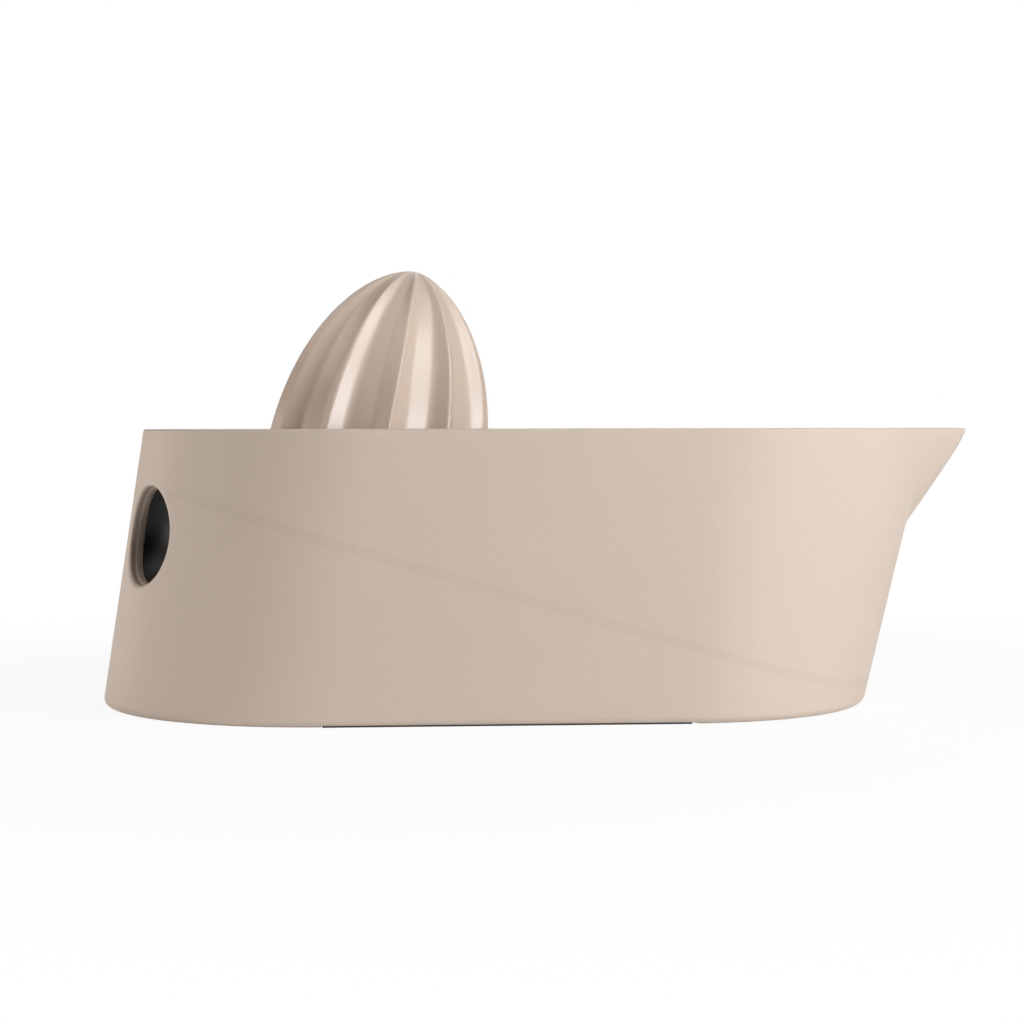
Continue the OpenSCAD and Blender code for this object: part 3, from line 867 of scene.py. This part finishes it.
def oval_r(inset, a):
    """Radius of the tray's oval in direction a: two round ends with straight sides between.

    A side is met at the radius over the sine. An end is a circle whose centre is
    moved by the stretch, so it is met at the root of a quadratic.
    """
    r = TRAY_R - inset
    end = TRAY_STRETCH * np.abs(np.cos(a)) + np.sqrt(r**2 - (TRAY_STRETCH * np.sin(a)) ** 2)
    flat = r / np.maximum(np.abs(np.sin(a)), TINY * MM)
    return np.where(flat * np.abs(np.cos(a)) <= TRAY_STRETCH, flat, end)


def quarter(r_from, z_from, r_to, z_to, flat_first, steps=5):
    """Quarter of an ellipse between two corners, as rows of radius and height.

    One of the two goes by the sine of the angle, the other by one minus its cosine.
    """
    t = np.linspace(0, PI / 2, steps)
    fast, slow = np.sin(t), 1 - np.cos(t)
    out, rise = (fast, slow) if flat_first else (slow, fast)
    return [(r_from + (r_to - r_from) * o, z_from + (z_to - z_from) * u) for o, u in zip(out, rise)]


def polar_rows(rows, a):
    """Rows of (radius, height) at the angles a. A radius may differ from angle to angle."""
    r = np.array([r + 0 * a for r, _ in rows])
    z = np.array([z + 0 * a for _, z in rows])
    return np.stack([r * np.cos(a), r * np.sin(a), z], axis=-1)


plate_y = sector_y(WINDOW_X)
plate = all_sectors(WINDOW_X[:, None] + 0 * plate_y, plate_y)
near_a, far_a = (np.unwrap(np.arctan2(plate[i, :, 1], plate[i, :, 0])) for i in (0, -1))

# %% Section of the tray, as radius and height above the plate
# Roundings of the boss, the ridge, the corner inside the rim and the rim's top
BOSS_ROUND, RIDGE_ROUND, CORNER_ROUND, TOP_ROUND = 0.8, 0.4, 1.2, 0.7
HOLLOW_ROUND, NEAR_RIDGE, PLATE_IN, PLATE_IN_LOW = 0.5, 0.3, 26.3, 25.0
boss, hollow = (polygon_r(r, BOSS_SIDES, near_a) for r in (BOSS_R, BOSS_R - BOSS_WALL))
ridge_out, ridge_low = RIDGE_IN + RIDGE_T, RIDGE_H - RIDGE_ROUND
inner_top = [
    (0.0, BOSS_H),
    (boss * 0.5, BOSS_H),
    *quarter(boss - BOSS_ROUND, BOSS_H, boss, BOSS_H - BOSS_ROUND, True),
    (boss, BOSS_H / 2),
    *quarter(boss, BOSS_ROUND, boss + BOSS_ROUND, 0.0, False),
    (PLATE_IN, 0.0),
    (RIDGE_IN - NEAR_RIDGE, 0.0),
    (RIDGE_IN, NEAR_RIDGE),
    *quarter(RIDGE_IN, ridge_low, RIDGE_IN + RIDGE_ROUND, RIDGE_H, False),
    *quarter(ridge_out - RIDGE_ROUND, RIDGE_H, ridge_out, ridge_low, True),
    *quarter(ridge_out, RIDGE_ROUND, ridge_out + RIDGE_ROUND, 0.0, False),
]
rim_in_r, rim_out_r, rim_low = oval_r(TRAY_RIM_T, far_a), oval_r(0.0, far_a), TRAY_RIM_H - TOP_ROUND
outer_rim = [
    *quarter(rim_in_r - CORNER_ROUND, 0.0, rim_in_r, CORNER_ROUND, True),
    (rim_in_r, TRAY_RIM_H / 2),
    *quarter(rim_in_r, rim_low, rim_in_r + TOP_ROUND, TRAY_RIM_H, False),
    *quarter(rim_out_r - TOP_ROUND, TRAY_RIM_H, rim_out_r, rim_low, True),
    (rim_out_r, TRAY_RIM_H / 2),
    *quarter(rim_out_r, BOSS_ROUND - TRAY_T, rim_out_r - BOSS_ROUND, -TRAY_T, False),
]
inner_low = [
    (RIDGE_IN, -TRAY_T),
    (PLATE_IN_LOW, -TRAY_T),
    *quarter(hollow + HOLLOW_ROUND, -TRAY_T, hollow, HOLLOW_ROUND - TRAY_T, True),
    (hollow, BOSS_WALL),
    (hollow, BOSS_H - BOSS_WALL),
    (0.0, BOSS_H - BOSS_WALL),
]

# %% Grid of the whole tray, with its windows
plate_z = 0 * plate[..., :1]
top_plate = np.concatenate([plate, plate_z], axis=-1)
low_plate = np.concatenate([plate, plate_z - TRAY_T], axis=-1)
tray_rows = [
    polar_rows(inner_top, near_a),
    top_plate,
    polar_rows(outer_rim, far_a),
    low_plate[::-1],
    polar_rows(inner_low, near_a),
]
tray_grid = np.concatenate(tray_rows)
tray_cols = plate.shape[1]
in_sector = np.arange(tray_cols) % (tray_cols // SLOTS) - COLS_BEFORE
in_window = (in_sector >= 0) & (in_sector < WINDOW_COLS)
tray_skip = np.zeros((len(tray_grid) - 1, tray_cols), dtype=bool)
low_start = len(inner_top) + len(WINDOW_X) + len(outer_rim)
for first in (len(inner_top), low_start):
    tray_skip[first:first + len(WINDOW_X) - 1] = in_window

# %% Slots
# How far round the slot's straight wall its softened edges and its flat collar reach
SLOT_SOFT, COLLAR, SLOT_STEPS = 0.35, 0.5, 4
slot_section = np.array([
    (COLLAR, 0.0),
    *quarter(SLOT_SOFT, 0.0, 0.0, -SLOT_SOFT, True, SLOT_STEPS),
    *quarter(0.0, SLOT_SOFT - TRAY_T, SLOT_SOFT, -TRAY_T, False, SLOT_STEPS),
    (COLLAR, -TRAY_T),
])


def slot_ring(number):
    """Faces round one slot: window's edge, softened edge, wall, softened edge, window's edge.

    A slot is a line with a radius. Each point of the window's edge is drawn towards
    the nearest point of that line, to the radius plus what the section adds.
    """
    r, c = loop_of(0, len(WINDOW_X) - 1, 0, WINDOW_COLS)
    x, y = WINDOW_X[r], plate_y[r, c + COLS_BEFORE]
    on_axis = np.clip(x, SLOT_IN + SLOT_W / 2, SLOT_OUT - SLOT_W / 2)
    reach = (SLOT_W / 2 + slot_section[:, :1]) / np.hypot(x - on_axis, y)
    ring_x = np.concatenate([x[None], on_axis + (x - on_axis) * reach, x[None]])
    ring_y = np.concatenate([y[None], y * reach, y[None]])
    z = np.concatenate([[0.0], slot_section[:, 1], [-TRAY_T]])[:, None] + 0 * ring_x
    turn = (2 * number + 1) * HALF_SECTOR
    c, s = np.cos(turn), np.sin(turn)
    return np.stack([ring_x * c - ring_y * s, ring_x * s + ring_y * c, z], axis=-1)


slot_skins = [surface(from_tray(slot_ring(i)), wrap=True) for i in range(SLOTS)]
dish_skin = surface(from_tray(tray_grid), wrap=True, skip=tray_skip)
tray = make_piece("tray_dish", [dish_skin] + slot_skins, "tray", ["strainer_tray"])

# %% [markdown]
# ## Finishes
# Shader maths is written as arithmetic. A small class wraps a socket and adds a Math
# node for each operator, and one method adds every other kind of node. All patterns
# read Object coordinates, which are metres here, because each piece's object sits at
# the origin, so the grain has the same size on every piece.

# %% A small language for shader nodes


class Wire:
    """One socket of a shader tree. Arithmetic on wires adds Math nodes."""

    def __init__(self, tree, socket):
        self.tree, self.socket = tree, socket

    def math(self, operation, other=0.0, swap=False):
        """A Math node on this wire and another wire or number."""
        a, b = (other, self) if swap else (self, other)
        return self.tree.add("ShaderNodeMath", dict(operation=operation), {0: a, 1: b})

    def __add__(self, other):
        return self.math("ADD", other)

    __radd__ = __add__

    def __sub__(self, other):
        return self.math("SUBTRACT", other)

    def __rsub__(self, other):
        return self.math("SUBTRACT", other, swap=True)

    def __mul__(self, other):
        return self.math("MULTIPLY", other)

    __rmul__ = __mul__

    def __truediv__(self, other):
        return self.math("DIVIDE", other)

    def __abs__(self):
        return self.math("ABSOLUTE")

    def smaller(self, other):
        """The smaller of two values."""
        return self.math("MINIMUM", other)

    def larger(self, other):
        """The larger of two values."""
        return self.math("MAXIMUM", other)

    def fade(self, start, end):
        """Nought at start and one at end, eased at both."""
        settings = dict(interpolation_type="SMOOTHSTEP")
        values = {"Value": self, "From Min": start, "From Max": end}
        return self.tree.add("ShaderNodeMapRange", settings, values)


class Nodes:
    """The shader tree of a material or a world, built node by node with add()."""

    def __init__(self, owner):
        owner.use_nodes = True
        self.tree = owner.node_tree
        self.tree.nodes.clear()

    def add(self, kind, settings=None, inputs=None, output=0):
        """Adds a node: its settings first, then the values or wires of its sockets."""
        node = self.tree.nodes.new(kind)
        for key, value in (settings or {}).items():
            setattr(node, key, value)
        for key, value in (inputs or {}).items():
            if isinstance(value, Wire):
                self.tree.links.new(value.socket, node.inputs[key])
            else:
                node.inputs[key].default_value = value
        return Wire(self, node.outputs[output]) if len(node.outputs) else None

    def end(self, kind, shader):
        """Joins a shader to the tree's output."""
        self.add(kind, None, {"Surface": shader})


class Finish(Nodes):
    """A material, with the nodes that every finish here is made of."""

    def __init__(self, name):
        self.material = bpy.data.materials.new(name)
        super().__init__(self.material)

    def place(self):
        """Object coordinates, in metres."""
        return self.add("ShaderNodeTexCoord", output="Object")

    def axis(self, letter):
        """One of the three Object coordinates."""
        return self.add("ShaderNodeSeparateXYZ", None, {0: self.place()}, output=letter)

    def noise(self, size_mm, detail=2.0, rough=0.5):
        """Soft noise between nought and one, with lumps of about the given size."""
        values = {"Scale": 1 / MM / size_mm, "Detail": detail, "Roughness": rough}
        return self.add("ShaderNodeTexNoise", None, {"Vector": self.place(), **values})

    def mix(self, share, a, b):
        """A colour between a and b."""
        return self.add("ShaderNodeMix", dict(data_type="RGBA"), {0: share, 6: a, 7: b}, output=2)

    def bump(self, height, depth_mm):
        """A normal that is disturbed by a height between nought and one."""
        values = {"Height": height, "Strength": 1.0, "Distance": depth_mm * MM}
        return self.add("ShaderNodeBump", None, values)

    def shade(self, **inputs):
        """Principled shader with the given inputs, joined to the output."""
        keys = {key.replace("_", " "): value for key, value in inputs.items()}
        self.end("ShaderNodeOutputMaterial", self.add("ShaderNodeBsdfPrincipled", None, keys))
        return self.material


# %% [markdown]
# ## Moulded plastic
# The jug is moulded in a spark-eroded tool, which leaves a fine even grain. It shows
# as a faint mottle in the colour, a soft sheen and a bump of a few hundredths of a
# millimetre. Where the floor joins the wall inside, the plastic shrinks a little more
# as it cools and leaves a shallow sink mark down the side. The skin has no groove there:
# the groove's shade is painted into the colour as a faint darker line. A texture photo
# would do this only for one view, so the painted shade is worked out from the same
# heights as the floor.

# %% Jug plastic
BEIGE_DARK = (0.560, 0.456, 0.378, 1.0)
BEIGE_LIGHT = (0.636, 0.528, 0.445, 1.0)
# Where the painted shade of the sink mark starts to show and where it is full, away from its middle
SINK_SHADE_HALF_W, SINK_SHADE_CORE = 2.0, 0.4


def painted_sink_shade(f):
    """Painted shade of the sink mark: one on the line at half the floor's thickness, nought away
    from it.

    The line's height follows the floor: a share of the way between its two ends.
    """
    start, end = SLOPE_FROM * MM, SLOPE_TO * MM
    share = ((f.axis("X") - start) / (end - start)).larger(0.0).smaller(1.0)
    height = (FLOOR_REAR_Z - FLOOR_T / 2) * MM + share * ((FLOOR_FRONT_Z - FLOOR_REAR_Z) * MM)
    return abs(f.axis("Z") - height).fade(SINK_SHADE_HALF_W * MM, SINK_SHADE_CORE * MM)


def jug_plastic():
    """Beige with a fine grain in tone, gloss and height, darkened by painted shade along the sink
    mark.
    """
    f = Finish("jug_plastic")
    fine = f.noise(0.55, 3.0, 0.6)
    broad = f.noise(26.0, 2.0, 0.5)
    # Painted shade: the tone is darker along the sink mark, standing in for the shade of its
    # shallow groove.
    tone = (fine - 0.5) * 1.1 + (broad - 0.5) * 0.25 + 0.5 - painted_sink_shade(f) * 0.30
    colour = f.mix(tone.larger(0.0).smaller(1.0), BEIGE_DARK, BEIGE_LIGHT)
    rough = 0.56 + (fine - 0.5) * 0.16
    grain = f.bump(f.noise(0.30, 2.0, 0.6) * 0.7 + fine * 0.3, 0.02)
    return f.shade(Base_Color=colour, Roughness=rough, Normal=grain, IOR=1.46)


# %% [markdown]
# ## Satin plastic
# The reamer and the tray come from a polished tool. They keep a soft shine, with a
# little unevenness in the gloss where fruit and sponge have rubbed. One plain colour
# would look like a drawing, and strong noise would look like stone, so it is very weak.

# %% Reamer and tray plastic


def satin_plastic(name, colour_low, colour_high, roughness):
    """Nearly even colour and gloss, with a very shallow waviness."""
    f = Finish(name)
    fine = f.noise(0.8, 2.0, 0.5)
    broad = f.noise(14.0, 3.0, 0.55)
    colour = f.mix((fine * 0.15 + broad * 0.85).fade(0.0, 1.0), colour_low, colour_high)
    rough = roughness + (broad - 0.5) * 0.03
    skin = f.bump(f.noise(9.0, 1.0, 0.5), 0.003)
    return f.shade(Base_Color=colour, Roughness=rough, Normal=skin, IOR=1.62)


# %% [markdown]
# ## Rubber and the base
# The cups are soft black rubber with a smooth face. The pad and the cover under the
# base are dark and coarser, because nobody sees them in use. All three are one kind of
# finish, so one function makes them. The pad and the cover stay the CAD's own meshes.

# %% Dark finishes


def near_grey(level):
    """A grey with a touch less blue, as dyed rubber has."""
    return (level, level, level * 0.98, 1.0)


def dark_finish(name, low, high, roughness, grain_mm, depth_mm, ior=1.5):
    """A grain of two greys, with the same grain in its height."""
    f = Finish(name)
    grain = f.noise(grain_mm, 3.0, 0.6)
    colour = f.mix(grain, near_grey(low), near_grey(high))
    rough = roughness + (f.noise(9.0, 2.0, 0.5) - 0.5) * 0.10
    return f.shade(Base_Color=colour, Roughness=rough, Normal=f.bump(grain, depth_mm), IOR=ior)


# %% Every piece gets its finish
REAMER_BEIGE = (0.628, 0.500, 0.408, 1.0), (0.646, 0.518, 0.425, 1.0)
TRAY_BEIGE = (0.570, 0.462, 0.382, 1.0), (0.600, 0.492, 0.410, 1.0)


def wear(piece, material):
    """Gives a piece its one material. On a CAD node every slot gets it."""
    if piece.material_slots:
        for place in piece.material_slots:
            place.material = material
    else:
        piece.data.materials.append(material)


wear(jug, jug_plastic())
wear(reamer, satin_plastic("reamer_plastic", *REAMER_BEIGE, 0.33))
wear(tray, satin_plastic("tray_plastic", *TRAY_BEIGE, 0.38))
rubber = dark_finish("cup_rubber", 0.005, 0.008, 0.50, 0.5, 0.008, 1.35)
for cup in cups:
    wear(cup, rubber)
wear(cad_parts["base_pad"], dark_finish("pad_rubber", 0.035, 0.060, 0.7, 0.7, 0.03))
wear(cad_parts["base_cover"], dark_finish("cover_plastic", 0.100, 0.130, 0.6, 0.5, 0.02))
print("finished", jug.name, reamer.name, tray.name, "the cups, the pad and the cover")

# %% [markdown]
# ## Floor, light and camera
# The object stands on a white sweep, in a photo with no horizon. The floor could be lit
# until it is white, but that would change the light on the object. Instead most of what
# the camera sees of it is a plain white, and the rest is a diffuse floor that keeps the
# shadow. Rays that carry light to the object meet the diffuse floor alone, so it still
# throws light up.

# %% Floor
FLOOR_HALF, WHITE = 60.0, (1.0, 1.0, 1.0, 1.0)
FLOOR_DARK, FLOOR_LIGHT = (0.90, 0.90, 0.90, 1.0), (0.92, 0.92, 0.92, 1.0)
# Share of plain white near the object, and the distances over which it grows to one
NEAR_WHITE, WHITE_FROM, WHITE_TO = 0.9, 0.12, 0.32


def floor_piece():
    """One large square at the height of the table."""
    low, high = -FLOOR_HALF, FLOOR_HALF
    corners = [(low, low, 0), (high, low, 0), (high, high, 0), (low, high, 0)]
    mesh = bpy.data.meshes.new("floor")
    mesh.from_pydata(corners, [], [(0, 1, 2, 3)])
    piece = bpy.data.objects.new("floor", mesh)
    bpy.context.scene.collection.objects.link(piece)
    return piece


def white_seen(f, share):
    """The share for rays that should see plain white: the camera's, mirrored and clear ones."""
    seen = f.add("ShaderNodeLightPath", output="Is Camera Ray")
    glossy = f.add("ShaderNodeLightPath", output="Is Glossy Ray")
    clear = f.add("ShaderNodeLightPath", output="Is Transmission Ray")
    return seen.larger(glossy).larger(clear) * share


def floor_finish():
    """Diffuse white under a share of plain white that grows with the distance."""
    f = Finish("floor_white")
    tone = f.mix(f.noise(4.0, 2.0, 0.5), FLOOR_DARK, FLOOR_LIGHT)
    diffuse = f.add("ShaderNodeBsdfDiffuse", None, {"Color": tone})
    white = f.add("ShaderNodeEmission", None, {"Color": WHITE, "Strength": 1.0})
    length = dict(operation="LENGTH")
    reach = f.add("ShaderNodeVectorMath", length, {0: f.place()}, output="Value")
    share = reach.fade(WHITE_FROM, WHITE_TO) * (1 - NEAR_WHITE) + NEAR_WHITE
    mixed = f.add("ShaderNodeMixShader", None, {0: white_seen(f, share), 1: diffuse, 2: white})
    f.end("ShaderNodeOutputMaterial", mixed)
    return f.material


floor = floor_piece()
floor.data.materials.append(floor_finish())

# %% World: white for the camera, and no light on the object
world = bpy.data.worlds.new("studio")
bpy.context.scene.world = world
sky = Nodes(world)
seen = sky.add("ShaderNodeLightPath", output="Is Camera Ray")
dark = sky.add("ShaderNodeBackground", None, {"Color": WHITE, "Strength": 0.0})
plain = sky.add("ShaderNodeBackground", None, {"Color": WHITE, "Strength": 1.0})
sky.end("ShaderNodeOutputWorld", sky.add("ShaderNodeMixShader", None, {0: seen, 1: dark, 2: plain}))

# %% [markdown]
# ## Lamps
# The photo's light falls from the front right, so the bow is brightest and the side
# darkens evenly towards the rear. Weaker, warmer light from the left draws the lighter
# line along the rear edge. Lamps can be placed by eye, but here their powers were chosen
# so that the tones along the side agree with the photo's. Each is given by its
# direction, as on a globe round the object, which makes it easy to try another.

# %% Lamps
WARM, PLAIN, COOL = (1.0, 0.955, 0.91), (1.0, 1.0, 1.0), (0.985, 1.0, 1.015)
# Degrees from the spout's direction, degrees up, distance and size in metres, watts, colour
LAMPS = {
    "key": (-35, 35, 0.55, 0.30, 1.65, COOL),
    "front_right_low": (-50, 5, 1.5, 0.45, 10.6, COOL),
    "front_right_high": (-35, 65, 1.5, 0.60, 3.10, COOL),
    "left_low": (188, 5, 1.5, 0.45, 7.60, WARM),
    "left_high": (180, 45, 0.6, 0.30, 0.64, WARM),
    "rear_left": (150, 5, 1.5, 0.40, 3.00, WARM),
    "back": (90, 30, 1.5, 1.20, 4.50, PLAIN),
}
LAMP_TARGET = Vector((0.0, 0.0, 0.045))


def lamp(name, turn, height, distance, size, power, colour):
    """A soft square lamp that looks at the object from a direction and a distance.

    The direction is the cosine of the height times the cosine and the sine of the
    turn, and the sine of the height.
    """
    turn, height = np.radians(turn), np.radians(height)
    level = np.cos(height)
    aim = Vector((level * np.cos(turn), level * np.sin(turn), np.sin(height)))
    light = bpy.data.lights.new(name, "AREA")
    light.shape, light.size, light.energy, light.color = "SQUARE", size, power, colour
    lamp_object = bpy.data.objects.new(name, light)
    lamp_object.location = LAMP_TARGET + distance * aim
    lamp_object.rotation_euler = (-aim).to_track_quat("-Z", "Y").to_euler()
    bpy.context.scene.collection.objects.link(lamp_object)


for name, settings in LAMPS.items():
    lamp(name, *settings)
print("lamps", *LAMPS)

# %% [markdown]
# ## Camera
# The camera is almost level with the rim and looks straight at the side, so the near rim
# hides the far one. Its place and its long lens were fitted to the outline in the photo.
# A target to look at would be simpler, but the photo is also turned by a tenth of a
# degree, so the camera's own three axes are set.

# %% Camera
LENS, SENSOR, PITCH, ROLL = 77.98, 36.0, 0.03735, 0.001811
CAMERA_PLACE = Vector(((REAR_END + 105.07) * MM, -0.5728, 0.06986))


def camera_turn(pitch, roll):
    """Matrix of a level camera that looks along +Y, then turned up and down and about its axis."""
    cr, sr, cp, sp = np.cos(roll), np.sin(roll), np.cos(pitch), np.sin(pitch)
    right = Vector((cr, -sr * sp, -sr * cp))
    upward = Vector((sr, cr * sp, cr * cp))
    return Matrix((right, upward, right.cross(upward))).transposed().to_4x4()


camera_data = bpy.data.cameras.new("camera")
camera_data.lens, camera_data.sensor_width, camera_data.clip_start = LENS, SENSOR, 0.01
camera = bpy.data.objects.new("camera", camera_data)
camera.matrix_world = Matrix.Translation(CAMERA_PLACE) @ camera_turn(PITCH, ROLL)
bpy.context.scene.collection.objects.link(camera)
bpy.context.scene.camera = camera
print("camera at", [round(v, 3) for v in camera.matrix_world.translation])

bpy.context.scene.view_settings.view_transform = "Standard"
